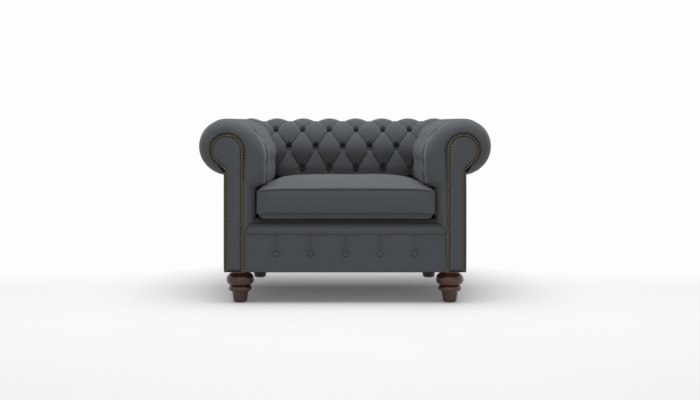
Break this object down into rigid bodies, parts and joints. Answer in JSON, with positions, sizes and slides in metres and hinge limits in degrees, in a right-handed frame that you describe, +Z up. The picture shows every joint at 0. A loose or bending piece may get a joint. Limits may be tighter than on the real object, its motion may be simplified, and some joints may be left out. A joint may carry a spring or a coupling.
{
  "type": "chesterfield armchair",
  "caption": "Low-backed scroll-arm armchair with deep-buttoned inside arms and back, a loose domed seat cushion, nailed facings and turned feet.",
  "frame": {"origin": "on the floor below the middle of the chair", "axes": "+X to the viewer's right along the back, -Y out of the front of the seat, +Z up"},
  "size_m": [1.12, 0.88, 0.706],
  "materials": {
    "charcoal_fabric": "matte",
    "foot_wood": "gloss",
    "antique_brass": "satin",
    "frame_wood": "matte",
    "steel": "satin",
    "zip_metal": "satin",
    "zip_tape": "matte",
    "foam": "matte",
    "hessian_cloth": "matte",
    "lining_cloth": "matte",
    "board": "matte",
    "twine": "matte"
  },
  "bodies": {
    "frame": {"arm_buttons_left": "charcoal_fabric", "arm_buttons_right": "charcoal_fabric", "arm_cover_left": "charcoal_fabric", "arm_cover_right": "charcoal_fabric", "arm_foam_left": "foam", "arm_foam_right": "foam", "arm_formers": "frame_wood", "arm_front_border_left": "charcoal_fabric", "arm_front_border_right": "charcoal_fabric", "arm_liner_left": "board", "arm_liner_right": "board", "arm_outer_rails": "frame_wood", "arm_stuffer_rails": "frame_wood", "arm_top_rail_left": "frame_wood", "arm_top_rail_right": "frame_wood", "back_buttons": "charcoal_fabric", "back_cover": "charcoal_fabric", "back_foam": "foam", "back_former_left": "frame_wood", "back_former_right": "frame_wood", "back_liner": "board", "back_outer_rail": "frame_wood", "back_seat_rail": "frame_wood", "back_stuffer_rail": "frame_wood", "back_top_rail": "frame_wood", "border_buttons": "charcoal_fabric", "button_twines": "twine", "corner_blocks": "frame_wood", "deck_pad": "charcoal_fabric", "dust_cover": "lining_cloth", "facing_left": "charcoal_fabric", "facing_nails_left": "antique_brass", "facing_nails_right": "antique_brass", "facing_right": "charcoal_fabric", "foot_bolts": "steel", "foot_nuts": "steel", "front_border": "charcoal_fabric", "front_edge_roll": "foam", "front_foot_left": "foot_wood", "front_foot_right": "foot_wood", "front_lip": "charcoal_fabric", "front_seat_rail": "frame_wood", "hessian": "hessian_cloth", "outside_arm_panel_left": "charcoal_fabric", "outside_arm_panel_right": "charcoal_fabric", "outside_back_panel": "charcoal_fabric", "rear_foot_left": "foot_wood", "rear_foot_right": "foot_wood", "rear_post_left": "frame_wood", "rear_post_right": "frame_wood", "scroll_board_left": "frame_wood", "scroll_board_right": "frame_wood", "seat_springs": "steel", "side_seat_rail_left": "frame_wood", "side_seat_rail_right": "frame_wood", "spring_clips": "steel"},
    "seat_cushion": {"cushion_cover": "charcoal_fabric", "cushion_foam": "foam", "cushion_zip": "zip_tape"},
    "slider": {"zip_slider": "zip_metal"}
  },
  "joints": [
    {"name": "cushion_slide", "type": "slide", "parent": "frame", "child": "seat_cushion", "axis": [0, -1, 0], "range_m": [0, 0.65]},
    {"name": "zip_travel", "type": "slide", "parent": "seat_cushion", "child": "slider", "axis": [1, 0, 0], "range_m": [0, 0.54]}
  ]
}
